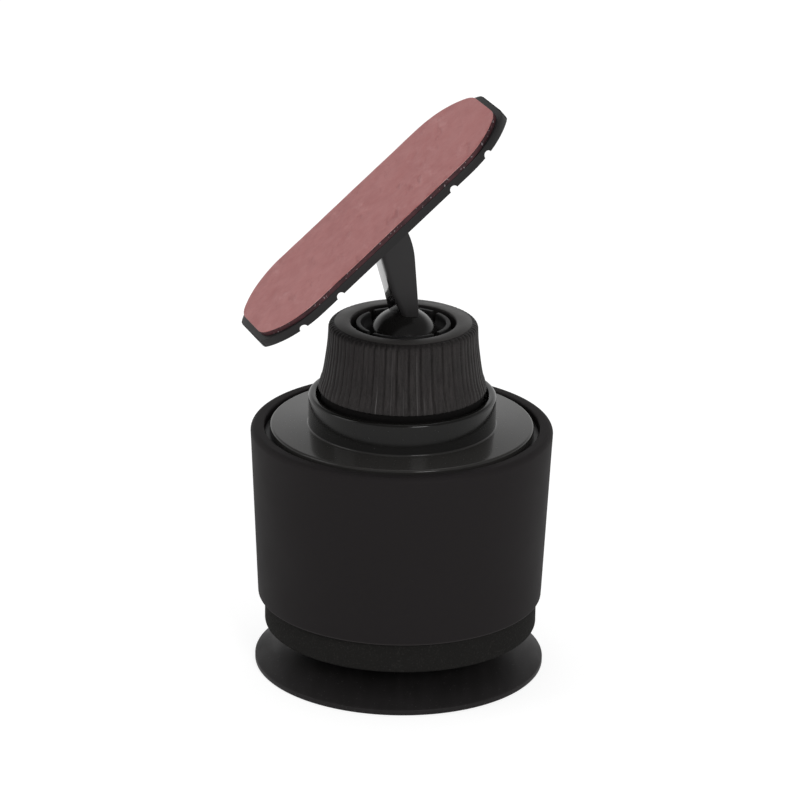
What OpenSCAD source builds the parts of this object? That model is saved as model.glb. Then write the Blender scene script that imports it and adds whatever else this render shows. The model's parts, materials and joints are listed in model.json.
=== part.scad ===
// Suction cup phone holder: a round housing that slides up on a suction cup to release it, with a clamped
// ball joint on top that carries a curved arm and an oval stick-on phone plate.
// Millimetres, +Z up. The origin is the middle of the suction cup's sealing face on the table.

/* [Suction cup] */
// Diameter across the sealing edge
cup_d = 70; // [64:1:90]
// Width of the flat sealing land under the edge
cup_land_w = 4; // [2:0.5:6]
// Thickness of the cup's edge
cup_edge_t = 1.4; // [1:0.1:2.4]
// Height of the hollow at its middle
cup_hollow_h = 3.4; // [2:0.1:3.8]
// Rubber round the hub's flange, in the cup's thick middle
cup_boss_wall = 2; // [1.5:0.1:4]
// Height of that thick middle
cup_boss_h = 9.4; // [9:0.1:11]

/* [Release valve] */
// Rubber left between the hollow and the hub's flange
hub_floor_t = 2; // [1.5:0.1:2.5]
// Width of the flange that the rubber is moulded over
hub_flange_w = 2; // [1:0.1:3]
// Thickness of that flange
hub_flange_t = 2.2; // [1.5:0.1:2.5]
// Width of the shoulder that the housing rests on
hub_shoulder_w = 2; // [1.2:0.1:2.8]
// Diameter of the neck that the housing slides on
hub_neck_d = 16; // [15:0.5:17]
// Bore of the air vent
vent_d = 3.2; // [2:0.2:3.6]
// Wall round the vent, where it stands up as the valve's seat
vent_wall = 1.2; // [1:0.1:1.3]
// Height of that seat above the stop washer
vent_seat_h = 2; // [1.8:0.1:3]
// How far the housing lifts to let the air in
lift = 2; // [1:0.1:3]
// How far the stop washer reaches past the guide
stop_washer_lip = 3.95; // [2.5:0.05:6]
// Thickness of the stop washer
stop_washer_t = 1.6; // [1:0.1:2.5]
// How far the rubber valve plug reaches past its seat
plug_lip = 1.7; // [0.8:0.1:3]
// Thickness of the plug's disc
plug_t = 2.4; // [1.5:0.1:3]
// Diameter of the plug's stem
plug_stem_d = 3.6; // [2.5:0.1:4.5]
// Length of the plug's stem
plug_stem_l = 4; // [3:0.5:6]
// Wire of the return spring
spring_wire_d = 1.2; // [0.8:0.1:1.4]
// Turns of the return spring
spring_turns = 4; // [3:1:5]

/* [Housing] */
// Height of the housing's bottom edge above the table
base_z = 17.7; // [17:0.1:22]
// Thickness of the base plate
base_t = 2.5; // [2:0.1:4]
// Wall of the guide that slides on the hub's neck
guide_wall = 3; // [2:0.1:3.2]
// How far the guide reaches below the base plate
guide_drop = 4.7; // [4:0.1:5.5]
// How far the guide reaches above the base plate
guide_rise = 7.8; // [7:0.1:12]
// How far the foam ring lies inside the sleeve
foam_inset = 0.05; // [0:0.05:3]
// Thickness of the foam ring
foam_t = 7.65; // [5:0.05:8]
// Gap between the foam ring and the cup's thick middle
foam_gap = 0.5; // [0.3:0.1:5]
// Rounding of the foam ring's lower edge
foam_round = 0.8; // [0.5:0.1:2]
// Height of the soft sleeve, from its bottom edge to its rounded top
sleeve_h = 42.9; // [38:0.1:60]
// Inside diameter of the sleeve
sleeve_bore_d = 65.9; // [62:0.1:80]
// Wall of the sleeve at its bottom edge
sleeve_bottom_wall = 1.35; // [0.8:0.05:2.5]
// Wall of the sleeve at its top edge
sleeve_top_wall = 3.35; // [2.7:0.05:5]
// Rounding of the sleeve's top, outside
sleeve_round = 1.4; // [1:0.1:2.2]
// Rounding of the sleeve's top, inside
sleeve_lip_round = 0.5; // [0.2:0.1:0.8]
// Wall of the inner shell
shell_wall = 2; // [1.5:0.1:2.4]
// Thickness of the deck across the shell
deck_t = 2.5; // [2:0.1:3.5]
// Distance of the base screws' bosses from the shell
base_screw_inset = 1.6; // [0.2:0.1:4]

/* [Cap and collar] */
// Groove between the glossy disc and the sleeve
cap_groove = 1.3; // [0.8:0.1:2]
// Thickness of the disc
cap_t = 2.3; // [2:0.1:3]
// Height of the disc's face above the sleeve's top
cap_proud = 0.4; // [0:0.1:1.5]
// Depth of the lip under the disc that centres it in the shell
cap_lip_h = 4; // [2:0.5:6]
// Gap between the collar and the nut's skirt
collar_gap = 1; // [0.5:0.05:2]
// Height of the collar above the disc
collar_h = 7.8; // [6:0.1:9]
// Wall of the collar
collar_wall = 1.9; // [1.5:0.05:2.3]
// Thickness of the collar's floor
collar_floor_t = 3.6; // [3:0.1:4.5]
// Rounding of the collar's top edge and of its foot
collar_round = 0.6; // [0.3:0.1:0.9]
// Distance of the cap screws' bosses from the shell
cap_screw_inset = 3.6; // [2.8:0.1:6]

/* [Ball socket] */
// Diameter of the ball
ball_d = 17; // [16:0.1:18]
// Height of the ball's centre above the collar's top
ball_rise = 12.6; // [12:0.1:14]
// Clearance between the ball and what holds it
ball_gap = 0.1; // [0.05:0.01:0.15]
// Wall of the fingers where they leave the barrel
finger_root_wall = 3.5; // [3:0.1:4]
// How far the fingers draw in towards their tips
finger_taper = 1; // [0.6:0.1:1.4]
// Step from the fingers out to the threaded barrel
barrel_step = 2.3; // [1.8:0.1:3]
// Width of the socket's foot flange
socket_foot_w = 4; // [3:0.1:5]
// Thickness of that flange
socket_foot_t = 2.4; // [2:0.1:3]
// Height of the finger tips above the ball's centre
finger_rise = 5.2; // [4.5:0.1:5.6]
// Thickness of the fingers at their tips
finger_tip_t = 1.1; // [1:0.1:1.6]
// Height above the ball's centre where the fingers' funnel begins
funnel_z = 2.2; // [1.8:0.1:4]
// Number of fingers
finger_count = 4; // [3:1:8]
// Width of the slots between the fingers
slot_w = 1.8; // [1:0.1:3]
// Height of the seat ring under the ball
seat_h = 6; // [5:0.1:6.5]

/* [Clamp nut] */
// Number of grip ribs
rib_count = 40; // [24:1:60]
// Depth of the grooves between the ribs
rib_h = 0.55; // [0.3:0.05:0.8]
// Share of the pitch that the groove takes
groove_share = 0.15; // [0.1:0.05:0.5]
// Wall of the nut's skirt, between its thread and its smooth outside
skirt_wall = 4.75; // [3.6:0.05:6]
// Width of the nut's top, from its hole to the ribs
nut_top_w = 5.55; // [5:0.05:6.5]
// Height of the ribbed part
nut_h = 16.7; // [16:0.1:18]
// Gap between the nut's ribs and the collar's top
nut_gap = 1.3; // [0.8:0.1:2]
// Gap between the nut's hole and the finger tips
nut_hole_gap = 1.35; // [1:0.05:2]
// Depth of the nut's top wall
nut_top_t = 3.6; // [3.2:0.1:4]
// Rounding of the nut's shoulder, which the ribs run over
nut_round = 2.1; // [1.2:0.1:2.6]
// Depth of the smooth skirt inside the collar
skirt_h = 4.5; // [3:0.1:5]
// Height of the compression ring
ring_h = 5.4; // [4:0.1:6]

/* [Arm] */
// Turn of the arm about the upright axis, in degrees
arm_turn = 19.8; // [-180:0.1:180]
// Width of the arm at its foot
foot_w = 5; // [4.4:0.1:5.2]
// Thickness of the arm
arm_t = 8; // [6:0.1:8.2]
// How deep the flat that the foot stands on is cut into the ball
ball_flat_cut = 1.5; // [1.4:0.1:1.8]
// Lean of the arm's outer edge, in degrees
outer_lean = 5; // [2:0.5:8]
// Lean of the arm's inner edge, in degrees
inner_lean = 16.5; // [10:0.5:20]
// Height above the ball's centre where the outer edge begins to bend
bend_z = 22; // [20:0.1:23]
// Radius of that bend
bend_r = 20; // [17:0.5:22]
// Diameter of the arm's spigot in the ball
spigot_d = 4; // [3:0.1:5]
// Length of the spigot
spigot_l = 9; // [7:0.1:10]
// Length of the head that carries the plate
head_l = 24; // [22:0.5:28]
// Width of that head
head_w = 12; // [10:0.5:16]
// Thickness of that head
head_t = 2.4; // [2:0.1:3]
// Distance between the two plate screws
plate_screw_pitch = 16; // [14:0.5:18]

/* [Phone plate] */
// Tilt of the plate's long side from level, in degrees
plate_tilt = 40.4; // [30:0.1:50]
// Plate's middle, measured sideways from the ball's centre
plate_x = -7.1; // [-9:0.1:-5]
// Plate's middle, measured up from the ball's centre
plate_up = 30.4; // [29:0.1:32]
// Length of the plate
plate_l = 78.2; // [70:0.1:90]
// Width of the plate
plate_w = 30; // [26:0.1:36]
// Thickness of the plate
plate_t = 2.1; // [1.6:0.1:3]
// Length of the plate's straight sides
plate_side_l = 46.4; // [42:0.1:50]
// Width of the plate's cut-off ends
plate_end_w = 13.8; // [11:0.1:18]
// How far the adhesive pad and its liner stop short of the plate's ends
pad_margin = 1.65; // [0.5:0.05:5]
// Thickness of the adhesive pad
pad_t = 1.2; // [0.8:0.05:2]
// Thickness of the release liner
liner_t = 0.25; // [0.15:0.05:0.5]
// Diameter of the half-round notches in the plate's back edge
notch_d = 2; // [1:0.1:2.6]
// How far the notches reach in from the edge
notch_in = 3; // [2:0.1:5]
// Distance between the two inner notches
notch_inner_pitch = 36.1; // [32:0.1:40]
// Distance between the two outer notches
notch_outer_pitch = 58.8; // [52:0.1:62]

/* [Screws] */
// Shank of the housing screws
screw_d = 2.8; // [2:0.1:3]
// Head of the housing screws
screw_head_d = 5.4; // [4.5:0.1:5.6]
// Height of their heads
screw_head_h = 1.6; // [1.2:0.1:1.8]
// Shank of the small screws
small_d = 2; // [1.6:0.1:2.2]
// Head of the small screws
small_head_d = 3.7; // [3:0.1:3.8]
// Height of their heads
small_head_h = 1.3; // [1:0.1:1.4]

/* [Hidden] */
$fn = 96;

// One overrun serves every cut
over = 1;
// Clearance of parts that are fixed in each other
fit_gap = 0.15;
// Radial clearance of a running fit
run_gap = 0.05;
// Play at the end of a travel
end_play = 0.1;
// Radial clearance of a screw in its hole
screw_gap = 0.15;

// Cup
cup_r = cup_d / 2;
hub_shoulder_d = hub_neck_d + 2 * hub_shoulder_w;
hub_flange_d = hub_shoulder_d + 2 * hub_flange_w;
cup_boss_r = hub_flange_d / 2 + cup_boss_wall;
cup_hollow_r = cup_r - cup_land_w;
edge_chamfer = cup_edge_t * 0.3;
cone_top_z = cup_boss_h * 0.84;
hollow_steps = 10;
hollow_power = 2.4;

// Hub, from the table up
flange_z = cup_hollow_h + hub_floor_t;
shoulder_z = base_z - guide_drop;
deck_face_z = base_z + base_t;
guide_top_z = deck_face_z + guide_rise;
neck_top_z = guide_top_z + lift + end_play;
washer_top_z = neck_top_z + stop_washer_t;
seat_top_z = washer_top_z + vent_seat_h;
vent_seat_d = vent_d + 2 * vent_wall;
plug_d = vent_seat_d + 2 * plug_lip;
guide_bore_d = hub_neck_d + 2 * run_gap;
guide_d = guide_bore_d + 2 * guide_wall;
stop_washer_d = guide_d + 2 * stop_washer_lip;
stop_screw_pcd = (vent_seat_d + hub_neck_d) / 2 + small_d * 0.4;
stop_screw_l = 7;
stop_screw_count = 3;

// Spring between the base plate and the stop washer
spring_sides = 6;
spring_rings = 12;
spring_r = (guide_d / 2 + 2 * fit_gap) / cos(180 / spring_rings) + spring_wire_d / 2;

// Housing
foam_z = base_z - foam_t;
foam_d = sleeve_bore_d - 2 * foam_inset;
foam_bore_d = 2 * (cup_boss_r + foam_gap);
sleeve_bottom_d = sleeve_bore_d + 2 * sleeve_bottom_wall;
sleeve_top_d = sleeve_bore_d + 2 * sleeve_top_wall;
shell_d = sleeve_bore_d - 2 * fit_gap;
shell_bore_d = shell_d - 2 * shell_wall;
sleeve_top_z = base_z + sleeve_h;
cap_d = sleeve_bore_d - 2 * cap_groove;
cap_top_z = sleeve_top_z + cap_proud;
cap_z = cap_top_z - cap_t;
deck_z = seat_top_z + plug_t + plug_stem_l + deck_t;
deck_top_z = deck_z + deck_t;
boss_wall = 1.8;
boss_d = screw_d + 2 * boss_wall;
base_screw_pcd = shell_bore_d - boss_d - 2 * base_screw_inset;
cap_screw_pcd = shell_bore_d - boss_d - 2 * cap_screw_inset;
plug_boss_d = plug_stem_d + 2 * boss_wall + 2 * run_gap;
housing_screw_count = 4;
base_screw_l = 10;
cap_screw_l = 9;
cap_round = cap_t * 0.26;

// Socket, nut and collar, from the ball outwards
collar_top_z = cap_top_z + collar_h;
well_z = cap_z + collar_floor_t;
ball_z = collar_top_z + ball_rise;
ball_r = ball_d / 2;
ball_flat_z = ball_r - ball_flat_cut;
socket_bore_d = ball_d + 4 * ball_gap;
finger_root_d = socket_bore_d + 2 * finger_root_wall;
finger_tip_d = finger_root_d - 2 * finger_taper;
barrel_d = finger_root_d + 2 * barrel_step;
socket_foot_d = barrel_d + 2 * socket_foot_w;
nut_bore_d = barrel_d + 4 * fit_gap;
skirt_d = nut_bore_d + 2 * skirt_wall;
nut_d = skirt_d + 2 * rib_h;
nut_hole_d = finger_tip_d + 2 * nut_hole_gap;
nut_top_d = nut_hole_d + 2 * nut_top_w;
collar_bore_d = skirt_d + 2 * collar_gap;
collar_d = collar_bore_d + 2 * collar_wall;
seat_pad_t = 2.8;
seat_z = ball_z - ball_r - seat_pad_t * 0.9;
barrel_top_z = ball_z - ball_r * 0.55;
finger_top_z = ball_z + finger_rise;
funnel_top_d = finger_tip_d - 2 * finger_tip_t;
funnel_bottom_r = sqrt((ball_r + ball_gap) ^ 2 - funnel_z ^ 2);
slot_z = ball_z - ball_r * 1.05;
// Radius of the fingers' outer cone at a height
function finger_r(z) = cone_r(finger_root_d, barrel_top_z, finger_tip_d, finger_top_z, z);
// Radius of the funnel at a height above the ball's centre
function funnel_r(z) = cone_r(2 * funnel_bottom_r, funnel_z, funnel_top_d, finger_rise, z);
core_d = 14;
core_top_z = seat_z - shell_wall;
socket_screw_pcd = (core_d + barrel_d) / 2;
socket_screw_l = 8;

// Nut and ring
nut_z = collar_top_z + nut_gap;
nut_top_z = nut_z + nut_h;
skirt_z = nut_z - skirt_h;
nut_shoulder_z = nut_top_z - nut_top_t;
ring_top_z = nut_shoulder_z - end_play;
ring_z = ring_top_z - ring_h;
ring_d = nut_bore_d - 2 * fit_gap;
// How far below the top face the ribs run out
rib_sink = rib_h * 0.1;
nut_bend_z = nut_top_z - nut_round - rib_sink;
nut_bend_r = nut_top_d / 2 - nut_round;
rib_pitch = 360 / rib_count;
// How fast the nut's flank narrows with height: shares of the height and of the loss in diameter
flank_shares = [[0, 0], [0.05, 0.04], [0.14, 0.2], [0.22, 0.4], [0.36, 0.6], [0.56, 0.79], [0.73, 0.92],
    [1, 1]];

// Arm and plate
foot_shift = 0.15;
outer_x = foot_w / 2 + foot_shift;
inner_x = outer_x - foot_w;
bend_steps = 12;
spigot_bore_d = spigot_d + 2 * run_gap;
ball_screw_l = 6;
ball_screw_z = ball_flat_z - spigot_l - end_play;
plate_side_x = plate_side_l / 2;
pad_l = plate_l - 2 * pad_margin;
notch_pitches = [notch_inner_pitch, notch_outer_pitch];

// Radius of a cone that runs from diameter d0 at z0 to diameter d1 at z1, taken at z
function cone_r(d0, z0, d1, z1, z) = (d0 + (d1 - d0) * (z - z0) / (z1 - z0)) / 2;

// Points of an arc: centre, radius, first and last angle
function arc(x, y, r, a0, a1, steps) = [for (i = [0:steps])
    let (a = a0 + (a1 - a0) * i / steps) [x + r * cos(a), y + r * sin(a)]];

// Height of the hollow's roof at a share of its radius
function hollow_at(share) = cup_hollow_h * (1 - share ^ hollow_power);

module tube(od, id, h) {
    difference() {
        cylinder(d = od, h = h);
        translate([0, 0, -over]) cylinder(d = id, h = h + 2 * over);
    }
}

module around(count, pcd, phase = 0) {
    for (i = [0:count - 1]) rotate(phase + i * 360 / count) translate([pcd / 2, 0, 0]) children();
}

// A screw that points up: its head's seat is at z = 0 and the head hangs below
module screw(d, head_d, head_h, l) {
    cylinder(d = d, h = l);
    difference() {
        translate([0, 0, -head_h]) cylinder(d = head_d, h = head_h);
        translate([0, 0, -head_h - over]) cylinder(d = d, h = over + head_h / 2, $fn = 6);
    }
}

// A countersunk screw that points up: the wide end of its head is at z = 0
module flat_screw(d, head_d, head_h, l) {
    difference() {
        union() {
            cylinder(d1 = head_d, d2 = d, h = head_h);
            cylinder(d = d, h = l);
        }
        translate([0, 0, -over]) cylinder(d = d * 0.8, h = over + head_h * 0.6, $fn = 6);
    }
}

// The hole that such a screw sits in
module flat_hole(d, head_d, head_h, l) {
    cylinder(d1 = head_d + 2 * screw_gap, d2 = d + 2 * screw_gap, h = head_h);
    cylinder(d = d + 2 * screw_gap, h = l);
    translate([0, 0, -over]) cylinder(d = head_d + 2 * screw_gap, h = over);
}

// Upright oval slab with straight sides, bowed shoulders and cut-off ends
module oval(l, w, end_w, side_x, h) {
    half = l / 2;
    drop = (w - end_w) / 2;
    r = ((half - side_x) ^ 2 + drop ^ 2) / (2 * drop);
    translate([-side_x, -w / 2, 0]) cube([2 * side_x, w, h]);
    for (s = [-1, 1]) intersection() {
        translate([s * side_x, w / 2 - r, 0]) cylinder(r = r, h = h);
        translate([s * side_x, r - w / 2, 0]) cylinder(r = r, h = h);
        translate([s > 0 ? side_x - over : -half, -w / 2, 0]) cube([half - side_x + over, w, h]);
        cylinder(r = half + end_w * 0.03, h = h);
    }
}

module in_arm_frame() {
    translate([0, 0, ball_z]) rotate([0, 0, arm_turn]) children();
}

// The plate's frame: x along its length, z out of its face, zero at the middle of its back
module in_plate_frame() {
    in_arm_frame() translate([plate_x, 0, plate_up]) rotate([0, -plate_tilt, 0]) children();
}

module suction_cup() {
    hollow = [for (i = [0:hollow_steps]) let (s = 1 - i / hollow_steps) [cup_hollow_r * s, hollow_at(s)]];
    color("#1b1a1b") difference() {
        rotate_extrude() polygon(concat(hollow, [
            [0, cup_boss_h],
            [cup_boss_r - edge_chamfer, cup_boss_h],
            [cup_boss_r, cup_boss_h - edge_chamfer],
            [cup_boss_r, cone_top_z],
            [cup_r - edge_chamfer, cup_edge_t],
            [cup_r, cup_edge_t - edge_chamfer],
            [cup_r, 0]]));
        translate([0, 0, flange_z]) cylinder(d = hub_flange_d + 2 * run_gap, h = hub_flange_t);
        translate([0, 0, flange_z]) cylinder(d = hub_shoulder_d + 2 * run_gap, h = cup_boss_h);
        translate([0, 0, -over]) cylinder(d = vent_seat_d, h = flange_z + 2 * over);
    }
}

module vacuum_hub() {
    color("#2b2b2d") difference() {
        union() {
            translate([0, 0, flange_z]) cylinder(d = hub_flange_d, h = hub_flange_t);
            translate([0, 0, flange_z]) cylinder(d = hub_shoulder_d, h = shoulder_z - flange_z);
            translate([0, 0, flange_z]) cylinder(d = hub_neck_d, h = neck_top_z - flange_z);
            translate([0, 0, flange_z]) cylinder(d = vent_seat_d, h = seat_top_z - flange_z);
        }
        translate([0, 0, flange_z - over]) cylinder(d = vent_d, h = seat_top_z - flange_z + 2 * over);
        around(stop_screw_count, stop_screw_pcd)
            translate([0, 0, neck_top_z - stop_screw_l + stop_washer_t])
                cylinder(d = small_d, h = stop_screw_l);
    }
}

module stop_washer() {
    color("silver") translate([0, 0, neck_top_z]) difference() {
        tube(stop_washer_d, vent_seat_d + 2 * fit_gap, stop_washer_t);
        around(stop_screw_count, stop_screw_pcd) translate([0, 0, -over])
            cylinder(d = small_d + 2 * screw_gap, h = stop_washer_t + 2 * over);
    }
}

module stop_screws() {
    color("silver") around(stop_screw_count, stop_screw_pcd) translate([0, 0, washer_top_z])
        mirror([0, 0, 1]) screw(small_d, small_head_d, small_head_h, stop_screw_l);
}

// Helix with ends that lie flat against the base plate and the stop washer
module return_spring() {
    turns = spring_turns + 1;
    count = turns * spring_rings;
    low = deck_face_z + spring_wire_d / 2;
    high = neck_top_z - spring_wire_d / 2;
    flat_share = 0.25 / turns;
    function rise(t) = min(max((t - flat_share) / (1 - 2 * flat_share), 0), 1);
    function spring_point(i, k) = let (t = i / count, a = 360 * turns * t, b = 360 * k / spring_sides,
        r = spring_r + spring_wire_d / 2 * cos(b))
        [r * cos(a), r * sin(a), low + (high - low) * rise(t) + spring_wire_d / 2 * sin(b)];
    points = [for (i = [0:count], k = [0:spring_sides - 1]) spring_point(i, k)];
    walls = [for (i = [0:count - 1], k = [0:spring_sides - 1]) let (n = spring_sides, j = (k + 1) % n)
        [i * n + k, i * n + j, (i + 1) * n + j, (i + 1) * n + k]];
    color("silver") polyhedron(points, concat(walls,
        [[for (k = [0:spring_sides - 1]) spring_sides - 1 - k]],
        [[for (k = [0:spring_sides - 1]) count * spring_sides + k]]));
}

module valve_plug() {
    color("#3a3a3c") translate([0, 0, seat_top_z]) {
        cylinder(d = plug_d, h = plug_t);
        cylinder(d = plug_stem_d, h = plug_t + plug_stem_l);
    }
}

module base_plate() {
    color("#262527") difference() {
        union() {
            translate([0, 0, base_z]) cylinder(d = shell_d, h = base_t);
            translate([0, 0, shoulder_z]) cylinder(d = guide_d, h = guide_top_z - shoulder_z);
        }
        translate([0, 0, shoulder_z - over])
            cylinder(d = guide_bore_d, h = guide_top_z - shoulder_z + 2 * over);
        around(housing_screw_count, base_screw_pcd, 45) translate([0, 0, base_z])
            flat_hole(screw_d, screw_head_d, screw_head_h, base_t + over);
    }
}

module base_screws() {
    color("silver") around(housing_screw_count, base_screw_pcd, 45) translate([0, 0, base_z])
        flat_screw(screw_d, screw_head_d, screw_head_h, base_screw_l);
}

module foam_ring() {
    r = foam_d / 2;
    color("#242424") translate([0, 0, foam_z]) rotate_extrude() polygon(concat(
        [[foam_bore_d / 2, foam_t], [foam_bore_d / 2, 0]],
        arc(r - foam_round, foam_round, foam_round, -90, 0, 6),
        [[r, foam_t]]));
}

module inner_shell() {
    color("#262527") difference() {
        union() {
            translate([0, 0, deck_face_z]) tube(shell_d, shell_bore_d, cap_z - deck_face_z);
            translate([0, 0, deck_z]) cylinder(d = shell_bore_d + shell_wall, h = deck_t);
            around(housing_screw_count, base_screw_pcd, 45) translate([0, 0, deck_face_z])
                cylinder(d = boss_d, h = deck_z - deck_face_z + deck_t / 2);
            translate([0, 0, seat_top_z + plug_t])
                cylinder(d = plug_boss_d, h = deck_z - seat_top_z - plug_t + deck_t / 2);
        }
        around(housing_screw_count, base_screw_pcd, 45) translate([0, 0, deck_face_z - over])
            cylinder(d = screw_d, h = base_screw_l + over);
        around(housing_screw_count, cap_screw_pcd) translate([0, 0, deck_z - over])
            cylinder(d = screw_d + 2 * screw_gap, h = deck_t + 2 * over);
        translate([0, 0, seat_top_z + plug_t - over])
            cylinder(d = plug_stem_d + 2 * run_gap, h = plug_stem_l + end_play + over);
    }
}

module outer_sleeve() {
    bore_r = sleeve_bore_d / 2;
    top_r = sleeve_top_d / 2;
    crest_z = sleeve_h - sleeve_round;
    color("#2a2829") translate([0, 0, base_z]) rotate_extrude() polygon(concat(
        [[bore_r, 0], [sleeve_bottom_d / 2, 0]],
        arc(top_r - sleeve_round, crest_z, sleeve_round, 0, 90, 8),
        arc(bore_r + sleeve_lip_round, sleeve_h - sleeve_lip_round, sleeve_lip_round, 90, 180, 4)));
}

module top_cap() {
    r = cap_d / 2;
    cr = collar_d / 2;
    bore_r = collar_bore_d / 2;
    lip_d = shell_bore_d - 2 * fit_gap;
    color("#232223") difference() {
        union() {
            rotate_extrude() polygon(concat(
                [[0, cap_z], [r, cap_z]],
                arc(r - cap_round, cap_top_z - cap_round, cap_round, 0, 90, 5),
                arc(cr + collar_round, cap_top_z + collar_round, collar_round, 270, 180, 5),
                arc(cr - collar_round, collar_top_z - collar_round, collar_round, 0, 90, 5),
                [[bore_r, collar_top_z], [bore_r, well_z], [0, well_z]]));
            translate([0, 0, cap_z - cap_lip_h]) tube(lip_d, lip_d - 2 * shell_wall, cap_lip_h + cap_t / 2);
            around(housing_screw_count, cap_screw_pcd) translate([0, 0, deck_top_z])
                cylinder(d = boss_d, h = cap_z - deck_top_z + cap_t / 2);
        }
        around(housing_screw_count, cap_screw_pcd) translate([0, 0, deck_top_z - over])
            cylinder(d = screw_d, h = cap_screw_l - deck_t + over);
        around(housing_screw_count, socket_screw_pcd, 45) translate([0, 0, cap_z - over])
            cylinder(d = small_d + 2 * screw_gap, h = collar_floor_t + 2 * over);
    }
}

module cap_screws() {
    color("silver") around(housing_screw_count, cap_screw_pcd) translate([0, 0, deck_z])
        screw(screw_d, screw_head_d, screw_head_h, cap_screw_l);
}

module ball_socket() {
    color("#2a2a2b") difference() {
        union() {
            translate([0, 0, well_z]) cylinder(d = socket_foot_d, h = socket_foot_t);
            translate([0, 0, well_z]) cylinder(d = barrel_d, h = barrel_top_z - well_z);
            translate([0, 0, barrel_top_z])
                cylinder(d1 = finger_root_d, d2 = finger_tip_d, h = finger_top_z - barrel_top_z);
        }
        translate([0, 0, seat_z]) cylinder(d = socket_bore_d, h = ball_z - seat_z);
        translate([0, 0, ball_z]) sphere(r = ball_r + ball_gap);
        translate([0, 0, ball_z + funnel_z - over])
            cylinder(r1 = funnel_r(funnel_z - over), r2 = funnel_r(finger_rise + over),
                h = finger_rise - funnel_z + 2 * over);
        for (i = [0:finger_count - 1]) rotate(45 + i * 360 / finger_count)
            translate([0, -slot_w / 2, slot_z]) cube([barrel_d, slot_w, finger_top_z - slot_z + over]);
        translate([0, 0, well_z - over]) cylinder(d = core_d, h = core_top_z - well_z + over);
        around(housing_screw_count, socket_screw_pcd, 45) translate([0, 0, well_z - over])
            cylinder(d = small_d, h = socket_screw_l - collar_floor_t + over);
    }
}

module socket_screws() {
    color("silver") around(housing_screw_count, socket_screw_pcd, 45) translate([0, 0, cap_z])
        screw(small_d, small_head_d, small_head_h, socket_screw_l);
}

// Nylon ring under the ball
module ball_seat() {
    color("#d8d6cf") difference() {
        translate([0, 0, seat_z]) cylinder(d = socket_bore_d - 2 * run_gap, h = seat_h);
        translate([0, 0, ball_z]) sphere(r = ball_r + ball_gap);
        translate([0, 0, seat_z - over]) cylinder(d = core_d * 0.6, h = seat_h + 2 * over);
    }
}

// Ring with a tapered bore that squeezes the fingers as the nut drives it down
module compression_ring() {
    color("#4a4a4c") difference() {
        translate([0, 0, ring_z]) cylinder(d = ring_d, h = ring_h);
        translate([0, 0, ring_z - over]) cylinder(r1 = finger_r(ring_z - over) + fit_gap,
            r2 = finger_r(ring_top_z + over) + fit_gap, h = ring_h + 2 * over);
    }
}

// The flank as a profile, shrunk inwards by inset
function flank(inset) = [for (p = flank_shares)
    [(nut_d + (nut_top_d - nut_d) * p[1]) / 2 - inset, nut_z + (nut_bend_z - nut_z) * p[0]]];

module clamp_nut() {
    core_round = nut_round - rib_h;
    color("#39383a") difference() {
        union() {
            rotate_extrude() polygon(concat([[0, nut_z]], flank(rib_h),
                arc(nut_bend_r, nut_top_z - core_round, core_round, 0, 90, 5), [[0, nut_top_z]]));
            intersection() {
                rotate_extrude() polygon(concat([[0, nut_z]], flank(0),
                    arc(nut_bend_r, nut_bend_z, nut_round, 18, 90, 4), [[0, nut_top_z - rib_sink]]));
                ribs_star();
            }
            translate([0, 0, skirt_z]) cylinder(d = skirt_d, h = skirt_h + rib_h);
        }
        translate([0, 0, skirt_z - over]) cylinder(d = nut_bore_d, h = nut_shoulder_z - skirt_z + over);
        translate([0, 0, nut_shoulder_z - over]) cylinder(d = nut_hole_d, h = nut_top_t + 2 * over);
    }
}

// Wedges that leave a narrow groove between one rib and the next
module ribs_star() {
    half = rib_pitch * (1 - groove_share) / 2;
    reach = nut_d;
    translate([0, 0, nut_z]) for (i = [0:rib_count - 1]) rotate(i * rib_pitch)
        linear_extrude(nut_h)
            polygon([[0, 0], reach * [cos(half), -sin(half)], reach * [cos(half), sin(half)]]);
}

module ball() {
    color("#2c2c2e") in_arm_frame() difference() {
        sphere(r = ball_r);
        translate([0, 0, ball_flat_z]) cylinder(r = ball_r, h = ball_r);
        translate([0, 0, ball_flat_z - spigot_l]) cylinder(d = spigot_bore_d, h = spigot_l + over);
        translate([0, 0, -ball_r]) cylinder(d = small_d + 2 * screw_gap, h = ball_r);
        translate([0, 0, -ball_r - over])
            cylinder(d = small_head_d + 2 * screw_gap, h = ball_r + over + ball_screw_z - boss_wall);
    }
}

module ball_screw() {
    color("silver") in_arm_frame() translate([0, 0, ball_screw_z - boss_wall])
        screw(small_d, small_head_d, small_head_h, ball_screw_l);
}

// Where the inner edge meets the head's underside
function inner_meet() = let (
    base_up = plate_up - head_t * cos(plate_tilt),
    base_x = plate_x + head_t * sin(plate_tilt),
    k = tan(plate_tilt),
    t = (base_up + k * (inner_x - base_x) - ball_flat_z) / (1 + k * tan(inner_lean)))
    [inner_x - t * tan(inner_lean), ball_flat_z + t];

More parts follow.
